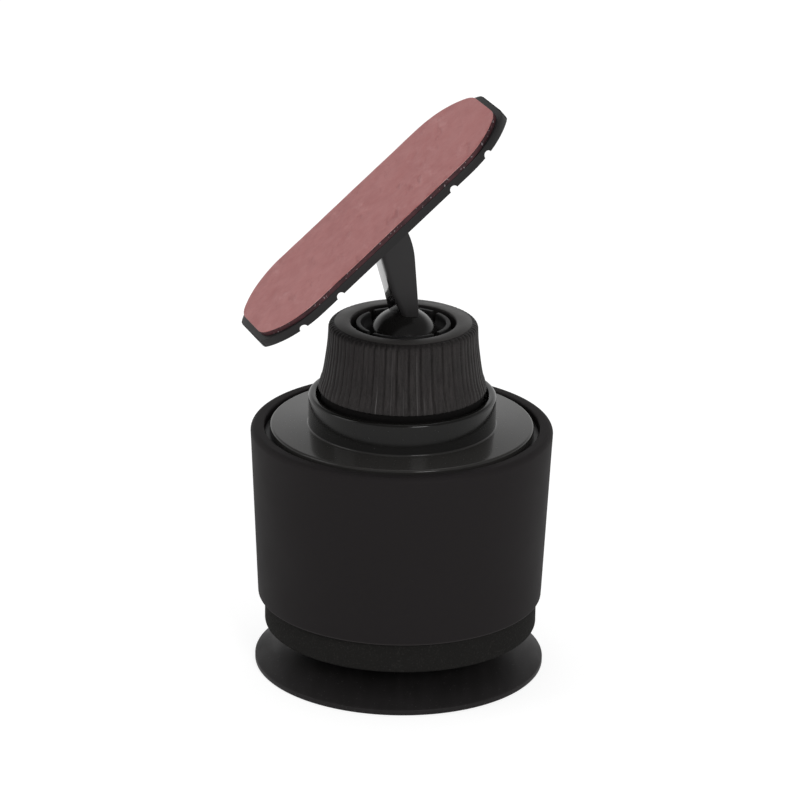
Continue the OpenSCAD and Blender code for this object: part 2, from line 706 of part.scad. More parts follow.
module arm() {
    bend_x = outer_x - (bend_z - ball_flat_z) * tan(outer_lean);
    outline = concat(
        [[inner_x, ball_flat_z], [outer_x, ball_flat_z]],
        arc(bend_x - bend_r * cos(outer_lean), bend_z - bend_r * sin(outer_lean), bend_r,
            outer_lean, plate_tilt, bend_steps),
        [inner_meet() + head_t * [-sin(plate_tilt), cos(plate_tilt)] / 2, inner_meet()]);
    color("#343335") difference() {
        union() {
            in_arm_frame() rotate([90, 0, 0]) linear_extrude(arm_t, center = true) polygon(outline);
            in_arm_frame() translate([0, 0, ball_flat_z - spigot_l])
                cylinder(d = spigot_d, h = spigot_l + foot_w / 2);
            in_plate_frame() translate([0, 0, -head_t]) {
                for (s = [-1, 1]) translate([s * (head_l - head_w) / 2, 0, 0])
                    cylinder(d = head_w, h = head_t);
                translate([(head_w - head_l) / 2, -head_w / 2, 0]) cube([head_l - head_w, head_w, head_t]);
            }
        }
        in_plate_frame() translate([-plate_l / 2, -plate_w / 2, 0]) cube([plate_l, plate_w, head_l]);
        in_arm_frame() translate([0, 0, ball_screw_z - boss_wall])
            cylinder(d = small_d, h = ball_screw_l);
        plate_screw_places() mirror([0, 0, 1]) cylinder(d = small_d, h = plate_t + head_t + over);
    }
}

module plate_screw_places() {
    in_plate_frame() for (s = [-1, 1]) translate([s * plate_screw_pitch / 2, 0, plate_t]) children();
}

module mounting_plate() {
    color("#2b2a2b") difference() {
        in_plate_frame() oval(plate_l, plate_w, plate_end_w, plate_side_x, plate_t);
        in_plate_frame() for (p = notch_pitches, s = [-1, 1], side = [-1, 1])
            translate([s * p / 2, side * (notch_edge(p / 2) - notch_in), 0]) rotate([-90 * side, 0, 0])
                cylinder(d = notch_d, h = notch_in + plate_w);
        plate_screw_places() mirror([0, 0, 1])
            flat_hole(small_d, small_head_d, small_head_h, plate_t + over);
    }
}

// Half the plate's width at a distance x from its middle
function notch_edge(x) = let (drop = (plate_w - plate_end_w) / 2, run = plate_l / 2 - plate_side_x,
    r = (run ^ 2 + drop ^ 2) / (2 * drop), dx = max(x - plate_side_x, 0))
    plate_w / 2 - r + sqrt(r ^ 2 - dx ^ 2);

module plate_screws() {
    color("silver") plate_screw_places() mirror([0, 0, 1])
        flat_screw(small_d, small_head_d, small_head_h, plate_t + head_t);
}

module adhesive_pad() {
    color("#2a2021") in_plate_frame() translate([0, 0, plate_t])
        oval(pad_l, plate_w, plate_end_w, plate_side_x * pad_l / plate_l, pad_t);
}

module release_liner() {
    color("#9c5658") in_plate_frame() translate([0, 0, plate_t + pad_t])
        oval(pad_l, plate_w, plate_end_w, plate_side_x * pad_l / plate_l, liner_t);
}

suction_cup();
vacuum_hub();
stop_washer();
stop_screws();
return_spring();
valve_plug();
base_plate();
base_screws();
foam_ring();
inner_shell();
outer_sleeve();
top_cap();
cap_screws();
ball_socket();
socket_screws();
ball_seat();
compression_ring();
clamp_nut();
ball();
ball_screw();
arm();
mounting_plate();
plate_screws();
adhesive_pad();
release_liner();
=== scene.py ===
"""A suction cup phone holder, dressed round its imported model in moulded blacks, foam, rubber and film."""

import json
import math

import bmesh
import bpy
from mathutils import Matrix, Vector


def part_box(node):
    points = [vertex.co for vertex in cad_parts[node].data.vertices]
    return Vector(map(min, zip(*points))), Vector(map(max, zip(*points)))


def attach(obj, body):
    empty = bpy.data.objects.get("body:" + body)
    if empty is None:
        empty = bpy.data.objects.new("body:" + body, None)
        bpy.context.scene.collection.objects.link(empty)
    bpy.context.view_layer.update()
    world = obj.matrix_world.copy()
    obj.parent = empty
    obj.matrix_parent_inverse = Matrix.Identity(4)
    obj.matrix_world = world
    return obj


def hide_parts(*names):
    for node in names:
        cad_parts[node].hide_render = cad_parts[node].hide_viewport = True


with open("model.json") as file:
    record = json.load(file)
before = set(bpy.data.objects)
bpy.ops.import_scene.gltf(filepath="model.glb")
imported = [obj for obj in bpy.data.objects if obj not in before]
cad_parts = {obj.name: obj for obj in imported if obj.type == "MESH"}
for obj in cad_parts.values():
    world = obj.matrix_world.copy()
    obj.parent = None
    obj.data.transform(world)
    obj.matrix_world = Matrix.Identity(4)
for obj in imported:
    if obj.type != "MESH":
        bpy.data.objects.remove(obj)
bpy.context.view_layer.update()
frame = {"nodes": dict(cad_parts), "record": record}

# Heights and sizes that several pieces share, in millimetres, read from the solids or named here

MM = 0.001


def reach(node):
    """How far a solid reaches to the right, from the upright axis."""
    return round(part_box(node)[1].x / MM, 2)


def underside(node):
    return round(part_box(node)[0].z / MM, 2)


def top(node):
    return round(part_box(node)[1].z / MM, 2)


CUP_R, CUP_TOP = reach("suction_cup"), top("suction_cup")
FOAM_R, FOAM_Z = reach("foam_ring"), underside("foam_ring")
SLEEVE_Z, SLEEVE_TOP = underside("outer_sleeve"), top("outer_sleeve")
DISC_R, DISC_TOP, COLLAR_TOP = reach("top_cap"), SLEEVE_TOP + 0.4, top("top_cap")
SOCKET_R, SOCKET_Z, SOCKET_TOP = reach("ball_socket"), underside("ball_socket"), top("ball_socket")
SKIRT_Z, NUT_Z, NUT_TOP = underside("clamp_nut"), 70.1, top("clamp_nut")

# The ball's middle and the arm's turn to the side, then the plate's place and tilt on the arm
BALL_Z, ARM_TURN = 81.4, math.radians(19.8)
PLATE_X, PLATE_UP, PLATE_TILT = -7.1, 30.4, math.radians(40.4)
ARM_FRAME = Matrix.Translation((0, 0, BALL_Z * MM)) @ Matrix.Rotation(ARM_TURN, 4, "Z")
PLATE_FRAME = (ARM_FRAME @ Matrix.Translation((PLATE_X * MM, 0, PLATE_UP * MM))
               @ Matrix.Rotation(-PLATE_TILT, 4, "Y"))

# The plate's outline, and what lies on its face
PLATE_L, PLATE_W, PLATE_END, PLATE_SIDE = 78.2, 30.0, 13.8, 46.4
PLATE_T, PAD_T, FILM_GAP, FILM_T = 2.1, 1.2, 0.02, 0.15
LAYER_L, END_ROUND, FILM_END_ROUND = 74.9, 1.1, 1.4

# The camera

CAMERA_LENS, CAMERA_SENSOR = 199.5, 36
CAMERA_ELEVATION = math.radians(20.377)
CAMERA_ROLL = math.radians(0.825)
CAMERA_DISTANCE = 1059.8 * MM
CAMERA_TARGET = Vector((-0.54, 0.0, 66.81)) * MM


def place_camera():
    """The viewpoint that the photograph's circles give."""
    forward = Vector((0, math.cos(CAMERA_ELEVATION), -math.sin(CAMERA_ELEVATION)))
    right = Vector((1, 0, 0))
    up = right.cross(forward)
    rolled_right = math.cos(CAMERA_ROLL) * right + math.sin(CAMERA_ROLL) * up
    rolled_up = math.cos(CAMERA_ROLL) * up - math.sin(CAMERA_ROLL) * right
    data = bpy.data.cameras.new("camera")
    data.lens = CAMERA_LENS
    data.sensor_width = CAMERA_SENSOR
    data.clip_start, data.clip_end = 0.05, 50
    camera = bpy.data.objects.new("camera", data)
    bpy.context.scene.collection.objects.link(camera)
    place = Matrix((rolled_right, rolled_up, -forward)).transposed().to_4x4()
    place.translation = CAMERA_TARGET - CAMERA_DISTANCE * forward
    camera.matrix_world = place
    bpy.context.scene.camera = camera


place_camera()

# How materials are written


class Number:
    """A value on its way through a material. Arithmetic on it adds the nodes."""

    def __init__(self, paint, socket):
        self.paint, self.socket = paint, socket

    def _worked(self, operation, first, second):
        node = self.paint.node("ShaderNodeMath", {0: first, 1: second}, operation=operation)
        return Number(self.paint, node.outputs[0])

    def __add__(self, other):
        return self._worked("ADD", self, other)

    __radd__ = __add__

    def __sub__(self, other):
        return self._worked("SUBTRACT", self, other)

    def __rsub__(self, other):
        return self._worked("SUBTRACT", other, self)

    def __mul__(self, other):
        return self._worked("MULTIPLY", self, other)

    __rmul__ = __mul__

    def angle_from(self, other):
        """The angle, in radians, of the point that lies at self along and at other across."""
        return self._worked("ARCTAN2", other, self)

    def size(self):
        return self._worked("ABSOLUTE", self, 0.0)


def opaque(colour):
    """A colour that is written as a tuple gets its alpha, and a link stays as it is."""
    return (*colour, 1) if isinstance(colour, tuple) else colour


class Recipe:
    """A node tree, and the one way in which nodes are added to it."""

    def __init__(self, tree):
        self.tree = tree

    def node(self, kind, inputs=None, **settings):
        node = self.tree.nodes.new(kind)
        for key, value in settings.items():
            setattr(node, key, value)
        for key, value in (inputs or {}).items():
            self.feed(node.inputs[key], value)
        return node

    def feed(self, socket, value):
        """Gives a socket its value, or its link."""
        if isinstance(value, Number):
            value = value.socket
        if isinstance(value, bpy.types.NodeSocket):
            self.tree.links.new(value, socket)
        else:
            socket.default_value = value

    def spread(self, value, low, high, to_low=0.0, to_high=1.0):
        """Maps low..high to to_low..to_high, held at the ends."""
        made = self.node("ShaderNodeMapRange", {0: value, 1: low, 2: high, 3: to_low, 4: to_high})
        return Number(self, made.outputs[0])

    def dot(self, vector, way):
        made = self.node("ShaderNodeVectorMath", {0: vector, 1: way}, operation="DOT_PRODUCT")
        return Number(self, made.outputs["Value"])


class Paint(Recipe):
    """A material and the few things that every finish here needs."""

    def __init__(self, name, **shader):
        self.material = bpy.data.materials.new(name)
        self.material.use_nodes = True
        super().__init__(self.material.node_tree)
        self.shader = next(n for n in self.tree.nodes if n.type == "BSDF_PRINCIPLED")
        for socket, value in shader.items():
            self.shader.inputs[socket.replace("_", " ")].default_value = value
        self.place = self.node("ShaderNodeTexCoord").outputs["Object"]

    def noise(self, scale, detail=2.0, rough=0.5, stretch=None):
        place = self.place
        if stretch:
            place = self.node("ShaderNodeMapping", {"Vector": place, "Scale": stretch}).outputs[0]
        made = self.node("ShaderNodeTexNoise", {"Vector": place, "Scale": scale, "Detail": detail,
                                                "Roughness": rough})
        return Number(self, made.outputs[0])

    def cells(self, scale):
        made = self.node("ShaderNodeTexVoronoi", {"Vector": self.place, "Scale": scale})
        return Number(self, made.outputs["Distance"])

    def axes(self):
        """The place on the piece, as three numbers in metres."""
        made = self.node("ShaderNodeSeparateXYZ", {0: self.place})
        return [Number(self, made.outputs[i]) for i in range(3)]

    def facing(self, way):
        """How squarely the surface faces a direction, 1 where it looks straight along it."""
        return self.dot(self.node("ShaderNodeTexCoord").outputs["Normal"], way)

    def blend(self, factor, first, second):
        """Goes from the first colour to the second as the factor goes from 0 to 1."""
        made = self.node("ShaderNodeMix", {"Factor": factor, 6: opaque(first), 7: opaque(second)},
                         data_type="RGBA")
        return made.outputs[2]

    def colour(self, value):
        self.feed(self.shader.inputs["Base Color"], value)

    def roughness(self, value):
        self.feed(self.shader.inputs["Roughness"], value)

    def bump(self, height, depth):
        made = self.node("ShaderNodeBump", {"Height": height, "Distance": depth, "Strength": 1.0})
        self.feed(self.shader.inputs["Normal"], made.outputs[0])


# The finishes


def soft_touch():
    """The sleeve's velvety black, a little dusty, with a painted highlight along its lower hem."""
    paint = Paint("soft_touch_sleeve", IOR=1.2, Specular_Tint=(1.0, 0.92, 0.92, 1.0))
    cloud = paint.noise(38, 3, 0.55)
    dust = paint.spread(paint.noise(2300, 1, 0.4), 0.74, 0.79)
    base = paint.blend(cloud, (0.0110, 0.0098, 0.0102), (0.0142, 0.0128, 0.0132))
    # A paler band along the lower hem: a painted highlight where the rounded hem catches light.
    hem = paint.spread(paint.axes()[2], (SLEEVE_Z + 0.25) * MM, (SLEEVE_Z + 0.45) * MM, 0.6, 0.0)
    dusty = paint.blend(dust * 0.25, base, (0.03, 0.029, 0.03))
    paint.colour(paint.blend(hem, dusty, (0.040, 0.037, 0.037)))
    paint.roughness(paint.spread(cloud, 0.3, 0.7, 0.62, 0.72))
    paint.bump(paint.noise(2600, 3, 0.6), 0.01 * MM)
    return paint.material


def satin_black(name="satin_black", tone=1.0, grain=0.008, gloss=0.0):
    """A moulded black. The tone makes it lighter, the gloss smoother; the grain is a depth in millimetres."""
    paint = Paint(name, IOR=1.3)
    cloud = paint.noise(60, 3, 0.6)
    base = paint.blend(cloud, (0.011 * tone, 0.0104 * tone, 0.0107 * tone),
                       (0.0155 * tone, 0.0147 * tone, 0.0151 * tone))
    dust = paint.spread(paint.noise(2100, 1, 0.4), 0.74, 0.79)
    paint.colour(paint.blend(dust * 0.25, base, (0.04, 0.039, 0.04)))
    paint.roughness(paint.spread(cloud, 0.3, 0.7, 0.36 - gloss, 0.46 - gloss))
    paint.bump(paint.noise(3400, 2, 0.6), grain * MM)
    return paint.material


# Where glints are painted on the nut's ribs as fine light lines: degrees from the front, how far up in
# millimetres, and how strongly
GLINTS_FROM = NUT_Z + 0.2
GLINT_LINES = [(-18.4, 77.2, 1.0), (-8.0, 85.5, 0.45), (0.7, 77.8, 0.5), (10.5, 85.9, 0.7),
                (-2.1, 72.2, 0.5), (6.6, 73.2, 0.5), (15.5, 75.5, 0.45), (20.6, 80.0, 0.35)]


def painted_glint_lines(paint):
    """A mask of fine light lines on the nut, painted glints, each fading out over its last four millimetres.
    """
    x, y, z = paint.axes()
    around = (y * -1.0).angle_from(x)
    foot = paint.spread(z, (GLINTS_FROM - 0.2) * MM, GLINTS_FROM * MM)
    lines = None
    for degrees, high, strength in GLINT_LINES:
        near = paint.spread((around - math.radians(degrees)).size(), 0.002, 0.0065, strength, 0.0)
        line = near * paint.spread(z, (high - 4) * MM, high * MM, 1.0, 0.0) * foot
        lines = line if lines is None else lines + line
    return lines


def ribbed_black():
    """The nut's black: fine streaks run up its ribs; its face is painted paler as a highlight, its shoulder
    and skirt painted darker as shade.
    """
    paint = Paint("ribbed_nut_black", IOR=1.245, Specular_Tint=(1.0, 0.95, 0.94, 1.0))
    height = paint.axes()[2]
    streak = paint.noise(1500, 3, 0.65, stretch=(1.0, 1.0, 0.05))
    grain = paint.noise(2400, 3, 0.6)
    cloud = paint.noise(110, 3, 0.6)
    broad = paint.spread(paint.noise(330, 2, 0.5, stretch=(1.0, 1.0, 0.04)), 0.36, 0.64, 0.0, 0.6)
    lean = paint.blend(paint.spread(streak, 0.34, 0.66), (0.0112, 0.0100, 0.0098), (0.0310, 0.0280, 0.0276))
    warm = paint.blend(paint.spread(cloud, 0.4, 0.6), (0.0135, 0.0132, 0.0128), (0.0190, 0.0162, 0.0166))
    base = paint.blend(paint.spread(grain, 0.42, 0.62, 0.0, 0.4), paint.blend(broad, lean, warm),
                       (0.0330, 0.0305, 0.0300))
    # The flat face is painted paler: a painted highlight where it catches the light.
    face = paint.spread(height, (NUT_TOP - 0.12) * MM, (NUT_TOP - 0.02) * MM)
    # The shoulder under the face's edge is painted darker: painted shade.
    shoulder = paint.spread(height, (NUT_TOP - 1.9) * MM, (NUT_TOP - 0.6) * MM, 0.0, 0.5) * (1.0 - face)
    # The skirt below the ribs is painted near black: painted shade in the gap under the nut.
    skirt = paint.spread(height, (NUT_Z - 0.08) * MM, (NUT_Z - 0.02) * MM, 1.0, 0.0)
    face_highlit = paint.blend(face, base, (0.0350, 0.0330, 0.0318))
    shoulder_shaded = paint.blend(shoulder, face_highlit, (0.0060, 0.0054, 0.0054))
    shaded = paint.blend(skirt, shoulder_shaded, (0.003, 0.0028, 0.0028))
    # Fine light lines painted on the ribs as glints.
    paint.colour(paint.blend(painted_glint_lines(paint) * 0.6, shaded, (0.12, 0.115, 0.115)))
    paint.roughness(paint.spread(cloud, 0.3, 0.7, 0.50, 0.60) + skirt * 0.3 - face * 0.13)
    paint.bump(streak * (2.0 - face * 2.0) + grain, 0.028 * MM)
    return paint.material


# Where the arm's left flank faces
FLANK_WAY = (-0.902, -0.325, -0.284)


def arm_black():
    """The arm's black, with its narrow left flank polished as the mould left it."""
    paint = Paint("arm_black", IOR=1.35, Coat_IOR=1.9, Coat_Roughness=0.06)
    cloud = paint.noise(90, 3, 0.6)
    flank = paint.spread(paint.facing(FLANK_WAY), 0.72, 0.96)
    paint.colour(paint.blend(cloud, (0.0155, 0.0145, 0.0150), (0.0205, 0.0192, 0.0198)))
    paint.roughness(paint.spread(cloud, 0.3, 0.7, 0.42, 0.52) - flank * 0.32)
    paint.feed(paint.shader.inputs["Coat Weight"], flank)
    paint.bump(paint.noise(2600, 2, 0.6), 0.004 * MM)
    return paint.material


def gloss_black():
    """The cap's gloss: the flat disc is painted greyer than the deep black collar, a painted sheen for the
    light it reflects.
    """
    paint = Paint("gloss_black_disc", IOR=1.30)
    haze = paint.noise(45, 4, 0.6)
    specks = paint.spread(paint.noise(2300, 1, 0.4), 0.74, 0.78)
    base = paint.blend(haze, (0.0055, 0.0053, 0.0049), (0.0080, 0.0077, 0.0072))
    # The flat disc is painted greyer: a painted sheen, as disc and collar are one moulding.
    disc_sheen = paint.spread(paint.axes()[2], (DISC_TOP + 0.1) * MM, (DISC_TOP + 0.4) * MM, 1.0, 0.0)
    greyer = paint.blend(disc_sheen, base, (0.0260, 0.0250, 0.0238))
    paint.colour(paint.blend(specks * 0.3, greyer, (0.06, 0.06, 0.057)))
    paint.roughness(paint.spread(haze, 0.35, 0.7, 0.10, 0.18) + specks * 0.2)
    paint.bump(paint.noise(220, 2, 0.5), 0.004 * MM)
    return paint.material


def gloss_ball():
    """The ball's polish, under a faint haze."""
    paint = Paint("polished_ball", IOR=1.34)
    haze = paint.noise(160, 3, 0.6)
    paint.colour(paint.blend(haze, (0.0062, 0.0058, 0.0056), (0.0090, 0.0085, 0.0082)))
    paint.roughness(paint.spread(haze, 0.3, 0.7, 0.15, 0.22))
    paint.bump(paint.noise(900, 2, 0.5), 0.003 * MM)
    return paint.material


def cup_rubber():
    """The cup's rubber: painted darker near the foam as shade and greyer towards its rim, with lighter
    streaks of painted sheen and a few specks of dust.
    """
    paint = Paint("cup_rubber", IOR=1.22, Specular_Tint=(1.0, 0.95, 0.96, 1.0))
    bloom = paint.noise(70, 4, 0.6)
    cup_streaks = paint.noise(420, 3, 0.6, stretch=(1.0, 0.16, 0.16))
    dust = paint.spread(paint.noise(1900, 2, 0.5), 0.67, 0.75)
    x, y, _ = paint.axes()
    # Greyer towards the rim, darker near the foam: painted shade under the foam.
    lit_towards_rim = paint.spread(x * x + y * y, (22.36 * MM) ** 2, (32.40 * MM) ** 2, 0.0, 0.8)
    base = paint.blend(bloom, (0.0085, 0.0078, 0.0079), (0.0125, 0.0116, 0.0118))
    greyer = paint.blend(lit_towards_rim, base, (0.0175, 0.0163, 0.0165))
    # Lighter streaks: a painted sheen.
    sheen_streaked = paint.blend(paint.spread(cup_streaks, 0.45, 0.7, 0.0, 0.3), greyer, (0.026, 0.024, 0.025))
    paint.colour(paint.blend(dust * 0.6, sheen_streaked, (0.07, 0.07, 0.07)))
    paint.roughness(paint.spread(bloom, 0.3, 0.7, 0.42, 0.50) + paint.spread(cup_streaks, 0.3, 0.7, -0.06, 0.06))
    paint.bump(paint.noise(1800, 2, 0.5), 0.008 * MM)
    return paint.material


def foam():
    """The foam ring's closed cells, with pale specks."""
    paint = Paint("closed_cell_foam", IOR=1.2)
    pores = paint.cells(2300)
    speck = paint.spread(paint.noise(2600, 1, 0.5), 0.58, 0.72)
    cloud = paint.noise(140, 3, 0.6)
    base = paint.blend(cloud, (0.0085, 0.0081, 0.0076), (0.0130, 0.0124, 0.0116))
    paint.colour(paint.blend(speck * 0.5, base, (0.030, 0.029, 0.0273)))
    paint.roughness(paint.spread(cloud, 0.3, 0.7, 0.85, 0.95))
    paint.bump(pores + speck * 0.5, 0.07 * MM)
    return paint.material


def pad_foam():
    """The dark tape that shows round the film, reddish where the film's colour shines into it."""
    paint = Paint("adhesive_tape_edge", IOR=1.3)
    cloud = paint.noise(260, 3, 0.6)
    glint = paint.spread(paint.noise(1500, 1, 0.4), 0.66, 0.72)
    base = paint.blend(paint.spread(cloud, 0.35, 0.65), (0.024, 0.009, 0.011), (0.066, 0.023, 0.027))
    paint.colour(paint.blend(glint * 0.7, base, (0.30, 0.26, 0.27)))
    paint.roughness(paint.spread(cloud, 0.3, 0.7, 0.5, 0.7))
    paint.bump(paint.noise(1100, 2, 0.6), 0.06 * MM)
    return paint.material


def liner_film():
    """The pink film: mottled, with streaks and raised marks painted lighter as highlights, small dents
    painted darker as shade, and edges painted pale as a highlight.
    """
    paint = Paint("pink_release_film", IOR=1.4)
    cloud = paint.noise(26, 4, 0.55)
    streak = paint.noise(60, 4, 0.6, stretch=(1.0, 0.35, 1.0))
    mottle = paint.noise(330, 4, 0.62)
    base = paint.blend(paint.spread(cloud, 0.34, 0.66), (0.290, 0.089, 0.087), (0.342, 0.115, 0.111))
    soft = paint.blend(paint.spread(mottle, 0.35, 0.66, 0.0, 0.75), base, (0.378, 0.143, 0.138))
    # Dents, painted darker: painted shade in them.
    dents = paint.spread(paint.noise(330, 3, 0.6, stretch=(1.0, 0.35, 1.0)), 0.60, 0.72, 0.0, 0.45)
    # Raised marks, painted lighter: painted highlights.
    raised_marks = paint.spread(paint.noise(290, 3, 0.6, stretch=(0.5, 0.4, 1.0)), 0.60, 0.74, 0.0, 0.4)
    # Edges that turn away from the plate's face are painted pale: a painted highlight along the film's edge.
    upwards = paint.facing(tuple(PLATE_FRAME.to_3x3() @ Vector((0, 0, 1))))
    edge = paint.spread(upwards, 0.25, 0.7, 0.9, 0.0) * paint.spread(paint.noise(160, 2, 0.6), 0.42, 0.6)
    # Streaks painted lighter: painted highlights along them.
    streak_highlit = paint.blend(paint.spread(streak, 0.42, 0.72, 0.0, 0.4), soft, (0.41, 0.175, 0.170))
    raised_highlit = paint.blend(raised_marks, streak_highlit, (0.47, 0.225, 0.220))
    dent_shaded = paint.blend(dents, raised_highlit, (0.225, 0.064, 0.064))
    paint.colour(paint.blend(edge, dent_shaded, (0.62, 0.36, 0.35)))
    paint.roughness(paint.spread(streak, 0.3, 0.7, 0.32, 0.44))
    paint.bump(streak * 1.5 + mottle * 0.4 + raised_marks * 0.4 - dents * 0.5, 0.2 * MM)
    return paint.material


def zinc_steel():
    """The screws, the washer and the spring."""
    paint = Paint("zinc_plated_steel", Metallic=1.0)
    brush = paint.noise(900, 2, 0.6, stretch=(1.0, 1.0, 0.1))
    paint.colour(paint.blend(brush, (0.52, 0.53, 0.54), (0.66, 0.67, 0.68)))
    paint.roughness(paint.spread(brush, 0.3, 0.7, 0.25, 0.4))
    paint.bump(brush, 0.005 * MM)
    return paint.material


def nylon():
    """The ball's seat."""
    paint = Paint("natural_nylon", IOR=1.5)
    cloud = paint.noise(300, 3, 0.6)
    paint.colour(paint.blend(cloud, (0.60, 0.58, 0.51), (0.70, 0.69, 0.63)))
    paint.roughness(paint.spread(cloud, 0.3, 0.7, 0.35, 0.5))
    paint.bump(cloud, 0.01 * MM)
    return paint.material


FINISHES = {
    "soft_touch": soft_touch(),
    "satin_black": satin_black(),
    "gloss_black": gloss_black(),
    "cup_rubber": cup_rubber(),
    "foam": foam(),
    "pad_foam": pad_foam(),
    "liner_film": liner_film(),
    "steel": zinc_steel(),
    "nylon": nylon(),
    "inner_plastic": satin_black("plain_moulded_black", 0.9, 0.02),
}
BALL_FINISH, NUT_FINISH, ARM_FINISH = gloss_ball(), ribbed_black(), arm_black()
# The collet takes the satin black at half its tone: painted shade for the dark inside the nut's hole.
COLLET_FINISH = satin_black("collet_black_shaded", 0.5, 0.006, gloss=-0.12)
SLOT_OF = {row["node"]: row["material_slot"] for row in frame["record"]["subparts"]}
BODY_OF = {node: body for body, nodes in frame["record"]["behaviour"]["bodies"].items() for node in nodes}

# How pieces are modelled


def deselect():
    if bpy.context.mode != "OBJECT":
        bpy.ops.object.mode_set(mode="OBJECT")
    bpy.ops.object.select_all(action="DESELECT")


def take(piece):
    """Selects one piece alone and makes it the active one."""
    deselect()
    piece.select_set(True)
    bpy.context.view_layer.objects.active = piece


def adopt(piece, node, finish=None, smooth=35):
    """Gives a finished piece its finish and its body, and hides the node that it stands for."""
    take(piece)
    bpy.ops.object.transform_apply(location=True, rotation=True, scale=True)
    bpy.ops.object.shade_smooth_by_angle(angle=math.radians(smooth))
    piece.data.materials.clear()
    piece.data.materials.append(finish or FINISHES[SLOT_OF[node]])
    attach(piece, BODY_OF[node])
    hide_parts(node)
    return piece


def finish_with(piece, kind, **settings):
    """Adds a modifier and applies it."""
    take(piece)
    modifier = piece.modifiers.new(kind.lower(), kind)
    for key, value in settings.items():
        setattr(modifier, key, value)
    bpy.ops.object.modifier_apply(modifier=modifier.name)


def ease_edges(piece, width, segments, angle):
    """Rounds off the edges that turn by more than the angle, as a mould leaves them."""
    finish_with(piece, "BEVEL", width=width * MM, segments=segments, limit_method="ANGLE",
                angle_limit=math.radians(angle))


def merged_copy(node, name):
    """A copy of a CAD node with its loose triangles joined."""
    piece = bpy.data.objects.new(name, frame["nodes"][node].data.copy())
    bpy.context.scene.collection.objects.link(piece)
    take(piece)
    bpy.ops.object.mode_set(mode="EDIT")
    bpy.ops.mesh.select_mode(type="VERT")
    bpy.ops.mesh.select_all(action="SELECT")
    bpy.ops.mesh.remove_doubles(threshold=0.002 * MM)
    bpy.ops.mesh.dissolve_limited(angle_limit=math.radians(0.6))
    bpy.ops.object.mode_set(mode="OBJECT")
    return piece


def bend(r, z, radius, start, end, steps):
    """Points of an arc about (r, z), in the plane of radius and height."""
    turns = [math.radians(start + (end - start) * step / steps) for step in range(steps + 1)]
    return [(r + radius * math.cos(turn), z + radius * math.sin(turn)) for turn in turns]


def corner(r, z, radius, start, end, steps):
    """The arc that rounds an outline's corner at (r, z)."""
    middle = math.radians((start + end) / 2)
    centre_r = r - math.copysign(radius, math.cos(middle))
    centre_z = z - math.copysign(radius, math.sin(middle))
    return bend(centre_r, centre_z, radius, start, end, steps)


def turned(name, outline, sides=256, ring=True):
    """A piece turned about the upright axis: a circle is extruded and widened from point to point.

    A ring is bridged from its last circle to its first; otherwise both ends are filled."""
    deselect()
    (r, z), *rest = outline
    bpy.ops.mesh.primitive_circle_add(vertices=sides, radius=r * MM, location=(0, 0, z * MM),
                                      enter_editmode=True)
    piece = bpy.context.object
    piece.name = piece.data.name = name
    for next_r, next_z in rest:
        bpy.ops.mesh.extrude_region_move(TRANSFORM_OT_translate={"value": (0, 0, (next_z - z) * MM)})
        bpy.ops.transform.resize(value=(next_r / r, next_r / r, 1), center_override=(0, 0, next_z * MM))
        r, z = next_r, next_z
    bpy.ops.mesh.select_mode(type="EDGE")
    if ring:
        bpy.ops.mesh.select_all(action="DESELECT")
        bpy.ops.mesh.select_non_manifold()
        bpy.ops.mesh.bridge_edge_loops()
    else:
        bpy.ops.mesh.edge_face_add()
        bpy.ops.mesh.select_all(action="DESELECT")
        bpy.ops.mesh.select_non_manifold()
        bpy.ops.mesh.edge_face_add()
    bpy.ops.mesh.select_all(action="SELECT")
    bpy.ops.mesh.normals_make_consistent(inside=False)
    bpy.ops.object.mode_set(mode="OBJECT")
    return piece


def pick(piece, test):
    """Selects the vertices whose place passes the test, in edit mode."""
    mesh = bmesh.from_edit_mesh(piece.data)
    for vertex in mesh.verts:
        vertex.select_set(test(vertex.co + piece.location))
    mesh.select_flush_mode()
    bmesh.update_edit_mesh(piece.data)


def bevel_edges(piece, into, test, width, segments):
    """Rounds the edges whose lower and upper end, seen in another frame, pass a test. Stays in edit mode."""
    bpy.ops.object.mode_set(mode="EDIT")
    bpy.ops.mesh.select_mode(type="EDGE")
    bpy.ops.mesh.select_all(action="DESELECT")
    mesh = bmesh.from_edit_mesh(piece.data)
    for edge in mesh.edges:
        low, high = sorted((into @ end.co / MM for end in edge.verts), key=lambda place: place.z)
        edge.select_set(test(low, high))
    bmesh.update_edit_mesh(piece.data)
    bpy.ops.mesh.bevel(offset=width * MM, segments=segments, affect="EDGES")


# The cup and its foam

CUP_LAND_R, CUP_EDGE = CUP_R - 4.0, 1.4
CONE_IN, CONE_UP = 20.8, 6.5
CONE_SHARES = (0.06, 0.18, 0.32, 0.46, 0.6, 0.74, 0.88, 0.97)
BOSS_R, BOSS_FOOT = 14.0, 8.1
POCKET_R, POCKET_Z, POCKET_TOP = reach("vacuum_hub") + 0.05, underside("vacuum_hub"), 7.6
NECK_R = 10.05
VENT_R, HOLLOW_H, HOLLOW_CURVE = 2.8, 3.4, 2.4
HOLLOW_SHARES = (0.2, 0.35, 0.5, 0.62, 0.74, 0.84, 0.93)


